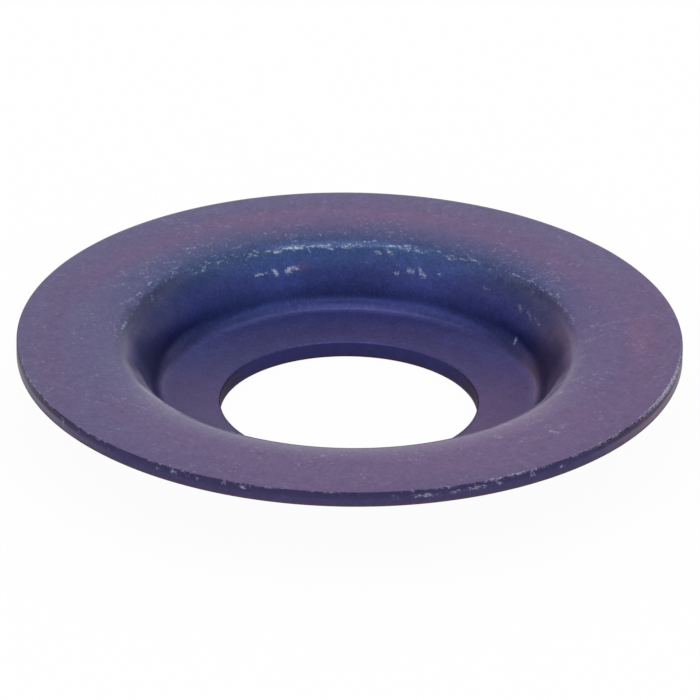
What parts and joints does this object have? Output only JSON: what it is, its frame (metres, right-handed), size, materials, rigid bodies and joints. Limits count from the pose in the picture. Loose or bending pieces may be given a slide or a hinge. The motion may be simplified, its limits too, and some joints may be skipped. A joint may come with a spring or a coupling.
{
  "type": "valve spring washer",
  "caption": "Dished round seat washer of pressed sheet steel: a wide flat flange rolls over a soft shoulder into a shallow cup with a punched centre hole, to seat and centre a valve spring.",
  "frame": {"origin": "centre of the circle at the hole's lower edge, which the washer stands on", "axes": "+Z along the washer's axis, from the cup's floor up to the flange; X and Y lie in the flange's plane"},
  "size_m": [0.042, 0.042, 0.0054],
  "materials": {
    "blued_steel": "satin violet-blue temper oxide with bright scuffs on the shoulder and the rim's edge"
  },
  "bodies": {
    "root": {"washer": "blued_steel"}
  },
  "joints": []
}
